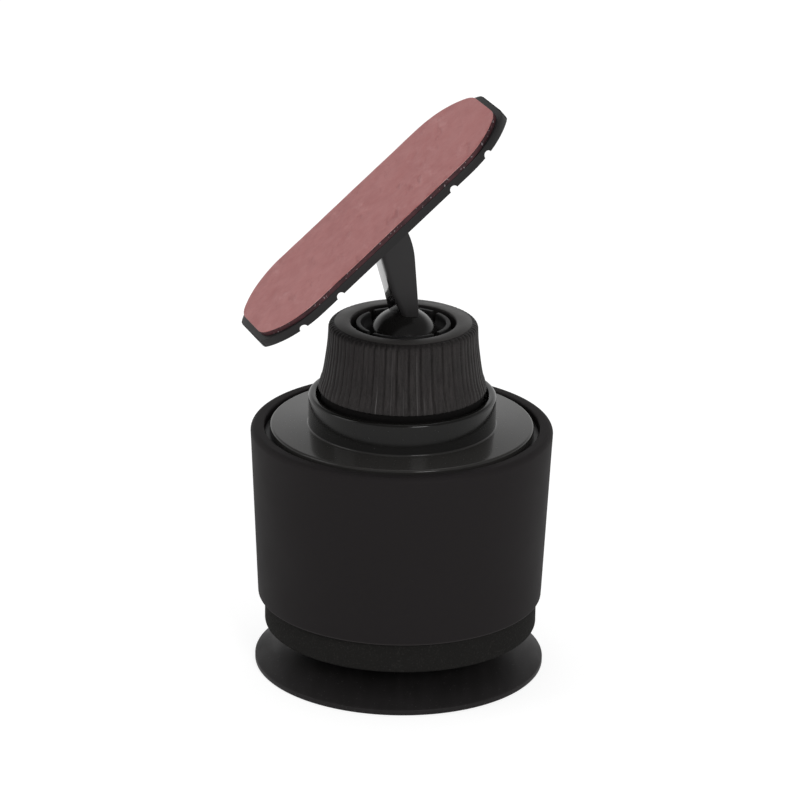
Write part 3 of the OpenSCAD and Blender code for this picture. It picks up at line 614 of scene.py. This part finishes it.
def suction_cup():
    """The cup: an edge, a straight cone, the thick middle with the hub's pocket, the vent and the hollow."""
    outline = (
        [(CUP_LAND_R, 0.0)] + corner(CUP_R, 0.0, 0.3, -90, 0, 3) + corner(CUP_R, CUP_EDGE, 0.25, 0, 72, 4)
        + [(CUP_R - CONE_IN * share, CUP_EDGE + CONE_UP * share) for share in CONE_SHARES]
        + [(BOSS_R, BOSS_FOOT)] + corner(BOSS_R, CUP_TOP, 0.6, 0, 90, 4) + [(NECK_R, CUP_TOP)]
        + [(NECK_R, POCKET_TOP), (POCKET_R, POCKET_TOP), (POCKET_R, POCKET_Z), (VENT_R, POCKET_Z)]
        + [(VENT_R, HOLLOW_H)]
        + [(CUP_LAND_R * share, HOLLOW_H * (1 - share ** HOLLOW_CURVE)) for share in HOLLOW_SHARES]
    )
    return adopt(turned("cup_of_rubber", outline), "suction_cup", smooth=40)


FOAM_BORE_R, FOAM_TOP, FOAM_SHIFT = 14.5, SLEEVE_Z - 0.02, 0.25


def foam_ring():
    """The foam, glued a quarter of a millimetre off the middle as on the object."""
    outline = (
        [(FOAM_BORE_R, FOAM_TOP), (FOAM_BORE_R, FOAM_Z + 0.35)]
        + corner(FOAM_BORE_R, FOAM_Z, 0.4, 180, 270, 3) + corner(FOAM_R, FOAM_Z, 0.8, -90, 0, 7)
        + corner(FOAM_R, FOAM_TOP, 0.3, 0, 90, 3)
    )
    piece = turned("foam_skirt", outline)
    piece.matrix_world = Matrix.Translation((FOAM_SHIFT * MM, 0, 0)) @ piece.matrix_world
    return adopt(piece, "foam_ring", smooth=50)


# The sleeve, and the disc with its collar

SLEEVE_BORE_R, SLEEVE_FOOT_R, SLEEVE_RIM_R = 32.95, 34.30, reach("outer_sleeve") - 0.05
SLEEVE_FLARE = 0.0466


def sleeve():
    """The sleeve: widens evenly from its hem to its rounded rim."""
    outline = (
        [(SLEEVE_BORE_R, SLEEVE_Z + 0.02), (SLEEVE_FOOT_R - 0.4, SLEEVE_Z)]
        + corner(SLEEVE_FOOT_R, SLEEVE_Z, 0.35, -80, 0, 4)
        + [(SLEEVE_FOOT_R + SLEEVE_FLARE * up, SLEEVE_Z + up) for up in (2, 8, 14, 20, 26, 32, 38)]
        + corner(SLEEVE_RIM_R, SLEEVE_TOP, 1.4, -2, 90, 12)
        + corner(SLEEVE_BORE_R, SLEEVE_TOP, 0.5, 90, 180, 5)
    )
    return adopt(turned("grip_sleeve", outline), "outer_sleeve")


DISC_UNDER, DISC_BORE_R, COLLAR_R, COLLAR_BORE_R = top("inner_shell"), 10.0, 22.45, 20.55


def disc_and_collar():
    """The glossy disc and the collar that stands on it, in one moulding."""
    outline = (
        [(29.0, DISC_UNDER)] + corner(DISC_R, DISC_UNDER, 0.3, -90, 0, 3)
        + corner(DISC_R, DISC_TOP, 0.6, 0, 90, 7) + corner(COLLAR_R, DISC_TOP, 0.4, 270, 180, 6)
        + corner(COLLAR_R, COLLAR_TOP, 0.8, 0, 90, 7) + corner(COLLAR_BORE_R, COLLAR_TOP, 0.5, 90, 180, 5)
        + [(COLLAR_BORE_R, SOCKET_Z + 0.3), (COLLAR_BORE_R - 0.35, SOCKET_Z)]
        + [(DISC_BORE_R, SOCKET_Z), (DISC_BORE_R, DISC_UNDER)]
    )
    return adopt(turned("glossy_disc_and_collar", outline), "top_cap")


# The nut

RIBS, COLUMNS_PER_RIB, RIB_DEPTH = 40, 24, 0.40
NUT_BORE_R, SKIRT_R, HOLE_R, FACE_R = 14.8, 19.45, 12.55, 16.45
RIB_FOOT = [(19.85, 70.06), (20.03, 70.13)]
FLANK = [(20.1, 70.25), (20.02, 70.83), (19.7, 72.14), (19.3, 73.3), (18.88, 75.34), (18.46, 78.25),
         (18.14, 80.72), (17.95, 83.0), (17.85, 85.25)]
SHOULDER_R, SHOULDER_Z, SHOULDER_BEND = 16.5, 85.25, 1.35
FACE_EDGE = [(16.4, 86.6), (16.38, 86.72), (16.31, 86.8)]

# How deep a rib is pressed at each column, as a share, from the groove at 0 to the middle of the rib at 12,
# which a shallower groove parts. The second section is for the worn lower end.
RIB_SHARES = {0: 1.0, 1: 0.84, 2: 0.36, 3: 0.12, 4: 0.04, 5: 0.0,
              8: 0.02, 9: 0.07, 10: 0.20, 11: 0.42, 12: 0.50}
WORN_SHARES = {0: 1.0, 1: 1.0, 2: 0.85, 3: 0.5, 4: 0.25, 5: 0.1,
               8: 0.18, 9: 0.42, 10: 0.75, 11: 0.95, 12: 1.0}
SHOULDER_SHARES = (1.0, 0.98, 0.94, 0.87, 0.78, 0.67, 0.55, 0.42, 0.28)


def drawn_through(points, steps=3):
    """Points of a smooth curve through the given ones, a few steps from each to the next."""
    rows = []
    for i in range(len(points) - 1):
        before, start, end = points[max(i - 1, 0)], points[i], points[i + 1]
        after = points[min(i + 2, len(points) - 1)]
        for step in range(steps):
            t = step / steps
            rows.append(tuple(0.5 * (2 * b + (c - a) * t + (2 * a - 5 * b + 4 * c - d) * t ** 2
                                     + (3 * b - a - 3 * c + d) * t ** 3)
                              for a, b, c, d in zip(before, start, end, after)))
    return rows + [points[-1]]


def rib_columns(piece):
    """The vertices outside the nut's face, by their height and their column from the nearest groove."""
    pitch = 360 / RIBS
    columns = {}
    for vertex in piece.data.vertices:
        off = (math.degrees(math.atan2(vertex.co.y, vertex.co.x)) + pitch / 2) % pitch
        column = round(min(off, pitch - off) / pitch * COLUMNS_PER_RIB)
        place = vertex.co + piece.location
        if place.xy.length > FACE_R * MM:
            columns.setdefault((round(place.z / MM, 2), column), []).append(vertex.index)
    return columns


def press_column(piece, indices, radius, z, depth):
    """Presses vertices of one row inwards, and on the rounded shoulder down as well."""
    bpy.ops.mesh.select_all(action="DESELECT")
    mesh = bmesh.from_edit_mesh(piece.data)
    mesh.verts.ensure_lookup_table()
    for index in indices:
        mesh.verts[index].select_set(True)
    bmesh.update_edit_mesh(piece.data)
    lean = max(z - SHOULDER_Z, 0) / SHOULDER_BEND
    narrower = (radius - depth * math.sqrt(1 - lean ** 2)) / radius
    bpy.ops.transform.resize(value=(narrower, narrower, 1), center_override=(0, 0, 0))
    if lean:
        bpy.ops.transform.translate(value=(0, 0, -depth * lean * MM))


def ribbed_nut():
    """The clamp nut: turned plain, then forty ribs are parted by grooves, and each rib by a shallower one."""
    flank = drawn_through(FLANK)
    shoulder = bend(SHOULDER_R, SHOULDER_Z, SHOULDER_BEND, 9, 81, len(SHOULDER_SHARES) - 1)
    outline = (
        [(NUT_BORE_R, SKIRT_Z + 0.2), (NUT_BORE_R + 0.2, SKIRT_Z)]
        + [(SKIRT_R - 0.2, SKIRT_Z), (SKIRT_R, SKIRT_Z + 0.2), (SKIRT_R, NUT_Z - 0.1)]
        + RIB_FOOT + flank + shoulder + FACE_EDGE + corner(HOLE_R, NUT_TOP, 0.45, 90, 180, 5)
        + [(HOLE_R, 83.5), (NUT_BORE_R, 83.2)]
    )
    piece = turned("ribbed_nut", outline, sides=RIBS * COLUMNS_PER_RIB)
    rows = [(r, z, share, WORN_SHARES) for (r, z), share in zip(RIB_FOOT, (0.5, 0.8))]
    rows += [(r, z, min(1.0, 0.6 + (z - NUT_Z) / 2.5), RIB_SHARES) for r, z in flank]
    rows += [(r, z, share, RIB_SHARES) for (r, z), share in zip(shoulder, SHOULDER_SHARES)]
    take(piece)
    columns = rib_columns(piece)
    bpy.ops.object.mode_set(mode="EDIT")
    bpy.ops.mesh.select_mode(type="VERT")
    for radius, z, row_share, shares in rows:
        for column, share in shares.items():
            press_column(piece, columns[round(z, 2), column], radius, z, RIB_DEPTH * share * row_share)
    bpy.ops.object.mode_set(mode="OBJECT")
    return adopt(piece, "clamp_nut", NUT_FINISH, smooth=50)


# The ball and the collet round it

BALL_R, BALL_FLAT, BALL_FLAT_R = 8.76, 8.44, 2.25
SPIGOT_BORE_R, SCREW_BORE_R, SPIGOT_END, SCREW_HEAD_Z = 2.05, 1.15, -2.1, -6.0


def ball():
    """The ball, turned about its own axis, with the bore that takes the arm's spigot."""
    outline = (
        [(SPIGOT_BORE_R, SPIGOT_END), (SPIGOT_BORE_R, BALL_FLAT - 0.06), (SPIGOT_BORE_R + 0.07, BALL_FLAT)]
        + [(BALL_FLAT_R, BALL_FLAT)] + bend(0, 0, BALL_R, 74.4, -76, 56)
        + [(SPIGOT_BORE_R - 0.05, SCREW_HEAD_Z), (SCREW_BORE_R, SCREW_HEAD_Z), (SCREW_BORE_R, SPIGOT_END)]
    )
    piece = turned("ball_of_the_joint", outline, sides=192)
    piece.matrix_world = ARM_FRAME @ piece.matrix_world
    return adopt(piece, "ball", BALL_FINISH, smooth=25)


SLIT_Z, SLIT_L, SLIT_W, SLIT_H = 72.5, 40, 1.8, 16
SOCKET_FOOT_R, SOCKET_FLOOR, SOCKET_SEAT = 7.0, 68.6, 70.4
FLANGE_TOP, FINGER_FOOT_R, FINGER_FOOT_TOP = 64.7, 14.5, 76.7
LIP_R, LIP_BORE_R, LIP_ROUND = 11.22, 10.15, 0.25
THROAT = [(10.1, 85.6), (9.95, 84.9), (9.5, 84.2), (9.0, 83.7), (8.84, 83.2), (8.86, 82.6), (8.88, 81.4),
          (8.86, 79.0), (8.85, 76.0)]


def slit_through(piece, turn):
    """Cuts the fingers apart, from side to side, at a turn in degrees."""
    deselect()
    bpy.ops.mesh.primitive_cube_add(size=1, location=(0, 0, 0), enter_editmode=True)
    slit = bpy.context.object
    bpy.ops.transform.resize(value=(SLIT_L * MM, SLIT_W * MM, SLIT_H * MM), center_override=(0, 0, 0))
    bpy.ops.transform.rotate(value=math.radians(turn), orient_axis="Z", center_override=(0, 0, 0))
    bpy.ops.transform.translate(value=(0, 0, (SLIT_Z + SLIT_H / 2) * MM))
    bpy.ops.object.mode_set(mode="OBJECT")
    finish_with(piece, "BOOLEAN", operation="DIFFERENCE", solver="EXACT", object=slit)
    bpy.data.objects.remove(slit)


def collet():
    """The socket: four fingers with thin lips over a throat that closes on the ball, slit at the corners."""
    outline = (
        [(3.0, SOCKET_FLOOR), (SOCKET_FOOT_R, SOCKET_FLOOR), (SOCKET_FOOT_R, SOCKET_Z)]
        + [(SOCKET_R - 0.1, SOCKET_Z), (SOCKET_R, SOCKET_Z + 0.1)]
        + [(SOCKET_R, FLANGE_TOP - 0.1), (SOCKET_R - 0.1, FLANGE_TOP)]
        + [(FINGER_FOOT_R + 0.1, FLANGE_TOP), (FINGER_FOOT_R, FLANGE_TOP + 0.1)]
        + [(FINGER_FOOT_R, FINGER_FOOT_TOP - 0.2), (FINGER_FOOT_R - 0.2, FINGER_FOOT_TOP)]
        + [(12.25, 76.75), (LIP_R, SOCKET_TOP - LIP_ROUND)]
        + corner(LIP_R, SOCKET_TOP, LIP_ROUND, 5, 90, 4)
        + corner(LIP_BORE_R, SOCKET_TOP, LIP_ROUND, 90, 175, 4)
        + THROAT + [(THROAT[-1][0], SOCKET_SEAT), (3.0, SOCKET_SEAT)]
    )
    piece = turned("collet", outline, ring=False)
    slit_through(piece, 45)
    slit_through(piece, -45)
    ease_edges(piece, width=0.16, segments=2, angle=50)
    return adopt(piece, "ball_socket", COLLET_FINISH, smooth=40)


# The arm

ARM_HALF_W, ARM_EDGE_MIN, ARM_EDGE_ROUND, KNEE_Z = 4, 8, 1.5, 13.6
FOOT_Z, FOOT_CUT, FOOT_SUNK = 7, 1.6, 1.0


def arm():
    """The arm: its two left edges are well rounded, as the light there shows, and its foot is sunk in."""
    piece = merged_copy("arm", "curved_arm")
    into_arm = ARM_FRAME.inverted()

    def on_left_corner(low, high):
        at_side = all(abs(abs(place.y) - ARM_HALF_W) < 0.05 for place in (low, high))
        return at_side and high.z - low.z > ARM_EDGE_MIN and high.x < -1

    bevel_edges(piece, into_arm, on_left_corner, width=ARM_EDGE_ROUND, segments=7)
    bpy.ops.mesh.select_mode(type="VERT")
    bpy.ops.mesh.select_all(action="SELECT")
    bpy.ops.mesh.bisect(plane_co=ARM_FRAME @ Vector((0, 0, KNEE_Z * MM)), plane_no=(0, 0, 1))
    mesh = bmesh.from_edit_mesh(piece.data)
    for vertex in mesh.verts:
        place = into_arm @ vertex.co / MM
        if abs(place.z - FOOT_Z) < 0.1 and place.x < -0.5 and place.y < -2.4:
            place.x += FOOT_CUT
            vertex.co = ARM_FRAME @ (place * MM)
    bmesh.update_edit_mesh(piece.data)
    pick(piece, lambda place: abs((into_arm @ place).z / MM - FOOT_Z) < 0.1)
    bpy.ops.transform.translate(value=(0, 0, -FOOT_SUNK * MM))
    bpy.ops.object.mode_set(mode="OBJECT")
    ease_edges(piece, width=0.3, segments=3, angle=32)
    return adopt(piece, "arm", ARM_FINISH)


# The plate and what lies on it


def plate():
    """The plate: the corners of its cut-off ends are rounded more than its other edges."""
    piece = merged_copy("mounting_plate", "oval_plate")

    def on_end_corner(low, high):
        upright = high.z - low.z > 0.8 and abs(high.y - low.y) < 0.4 and abs(high.x - low.x) < 0.4
        return upright and min(abs(low.x), abs(high.x)) > PLATE_L / 2 - 0.6

    bevel_edges(piece, PLATE_FRAME.inverted(), on_end_corner, width=END_ROUND, segments=5)
    bpy.ops.object.mode_set(mode="OBJECT")
    ease_edges(piece, width=0.14, segments=2, angle=32)
    return adopt(piece, "mounting_plate")


def oval_half_width(x, length, width, end, rounding):
    """Half the width of the plate's outline at x: its shoulders are bowed, and its ends are cut off."""
    half, side, drop = length / 2, PLATE_SIDE / 2 * length / PLATE_L, (width - end) / 2
    bow = ((half - side) ** 2 + drop ** 2) / (2 * drop)
    wide = width / 2 - bow + math.sqrt(bow ** 2 - max(abs(x) - side, 0) ** 2)
    from_end = half - abs(x)
    if from_end < rounding:
        wide -= rounding - math.sqrt(max(rounding ** 2 - (rounding - from_end) ** 2, 0))
    return wide


def oval_layer(name, low, thickness, rounding, inset=0.0, columns=200, rows=24):
    """A flat layer on the plate: a grid narrowed column by column to the oval, then given its thickness."""
    deselect()
    bpy.ops.mesh.primitive_grid_add(x_subdivisions=columns, y_subdivisions=rows, size=1, location=(0, 0, 0),
                                    enter_editmode=True)
    piece = bpy.context.object
    piece.name = piece.data.name = name
    length = LAYER_L - 2 * inset
    span = length * MM
    bpy.ops.mesh.select_all(action="SELECT")
    bpy.ops.transform.resize(value=(span, 2 * MM, 1), center_override=(0, 0, 0))
    bpy.ops.mesh.select_mode(type="VERT")
    for i in range(columns + 1):
        x = span * (i / columns - 0.5)
        pick(piece, lambda place: abs(place.x - x) < span / columns / 3)
        wide = oval_half_width(x / MM, length, PLATE_W - 2 * inset, PLATE_END - inset, rounding)
        bpy.ops.transform.resize(value=(1, wide, 1), center_override=(0, 0, 0))
    bpy.ops.mesh.select_all(action="SELECT")
    bpy.ops.transform.translate(value=(0, 0, low * MM))
    bpy.ops.mesh.extrude_region_move(TRANSFORM_OT_translate={"value": (0, 0, thickness * MM)})
    bpy.ops.mesh.select_all(action="SELECT")
    bpy.ops.mesh.normals_make_consistent(inside=False)
    bpy.ops.object.mode_set(mode="OBJECT")
    piece.matrix_world = PLATE_FRAME
    return piece


def adhesive_pad():
    """The foam tape under the film."""
    piece = oval_layer("foam_tape", PLATE_T, PAD_T, END_ROUND, inset=0.05)
    ease_edges(piece, width=0.12, segments=2, angle=40)
    return adopt(piece, "adhesive_pad")


def release_liner():
    """The film, a little wavy."""
    low = PLATE_T + PAD_T + FILM_GAP
    piece = oval_layer("pink_film", low, FILM_T, FILM_END_ROUND, columns=240, rows=48)
    waves = bpy.data.textures.new("film_waves", "CLOUDS")
    waves.noise_scale = 9 * MM
    waves.noise_depth = 2
    finish_with(piece, "DISPLACE", texture=waves, texture_coords="LOCAL", direction="Z", strength=0.16 * MM,
                mid_level=0.5)
    ease_edges(piece, width=0.05, segments=2, angle=50)
    return adopt(piece, "release_liner", smooth=50)


def finish_the_rest():
    """The pieces inside stay as the solids that they are, and get their finish."""
    for node, solid in frame["nodes"].items():
        if not solid.hide_render:
            solid.data.materials.clear()
            solid.data.materials.append(FINISHES[SLOT_OF[node]])


for make in (suction_cup, foam_ring, sleeve, ribbed_nut, disc_and_collar, adhesive_pad, release_liner, collet,
             arm, plate, ball):
    make()
finish_the_rest()

# The floor and the light

PLAIN_LIGHT = 0.55
LOOK_AT = Vector((0, 0, 60)) * MM


def white_floor():
    """A white table that keeps the object's shadow and runs out into white for the eye and in reflections."""
    deselect()
    bpy.ops.mesh.primitive_plane_add(size=8, location=(0, 0, -0.1 * MM))
    floor = bpy.context.object
    floor.name = "white_table"
    material = bpy.data.materials.new("white_table")
    material.use_nodes = True
    material.node_tree.nodes.clear()
    table = Recipe(material.node_tree)
    ray = table.node("ShaderNodeLightPath").outputs
    seen = Number(table, ray["Is Camera Ray"]) * 0.6 + Number(table, ray["Is Glossy Ray"]) * 0.2
    matt = table.node("ShaderNodeBsdfDiffuse", {"Color": (0.95, 0.95, 0.95, 1)}).outputs[0]
    glow = table.node("ShaderNodeEmission", {"Color": (1, 1, 1, 1), "Strength": 1.25}).outputs[0]
    mixed = table.node("ShaderNodeMixShader", {0: seen, 1: matt, 2: glow}).outputs[0]
    table.node("ShaderNodeOutputMaterial", {"Surface": mixed})
    floor.data.materials.append(material)


def white_world():
    """White to the eye. Reflections find it white low down, as a sweep of paper stands, and dim overhead."""
    world = bpy.data.worlds.new("white_studio")
    bpy.context.scene.world = world
    world.use_nodes = True
    studio = Recipe(world.node_tree)
    ray = studio.node("ShaderNodeLightPath").outputs
    way = studio.node("ShaderNodeTexCoord").outputs["Generated"]
    sweep = studio.spread(studio.dot(way, (0, -0.12, 1)), 0.18, 0.46, 1.05, 0.3)
    strength = (Number(studio, ray["Is Camera Ray"]) * (1 - PLAIN_LIGHT) + PLAIN_LIGHT
                + Number(studio, ray["Is Glossy Ray"]) * (sweep - PLAIN_LIGHT))
    background = world.node_tree.nodes["Background"].inputs
    studio.feed(background["Strength"], strength)
    background["Color"].default_value = (1, 1, 1, 1)


def soft_box(name, azimuth, elevation, distance, size, power):
    """A square lamp, aimed at the object. Azimuth 0 is towards the camera, 90 to the right."""
    turn, lift = math.radians(azimuth), math.radians(elevation)
    data = bpy.data.lights.new(name, "AREA")
    data.shape = "SQUARE"
    data.size = size
    data.energy = power
    lamp = bpy.data.objects.new(name, data)
    bpy.context.scene.collection.objects.link(lamp)
    way = Vector((math.sin(turn) * math.cos(lift), -math.cos(turn) * math.cos(lift), math.sin(lift)))
    lamp.location = way * distance + LOOK_AT
    lamp.rotation_mode = "QUATERNION"
    lamp.rotation_quaternion = way.to_track_quat("Z", "Y")


white_floor()
white_world()
soft_box("key", azimuth=22, elevation=26, distance=1.4, size=0.42, power=6)
soft_box("left_side", azimuth=-80, elevation=30, distance=1.2, size=0.6, power=2.2)
soft_box("top", azimuth=180, elevation=75, distance=1.4, size=0.9, power=3.5)
bpy.context.scene.view_settings.view_transform = "Standard"
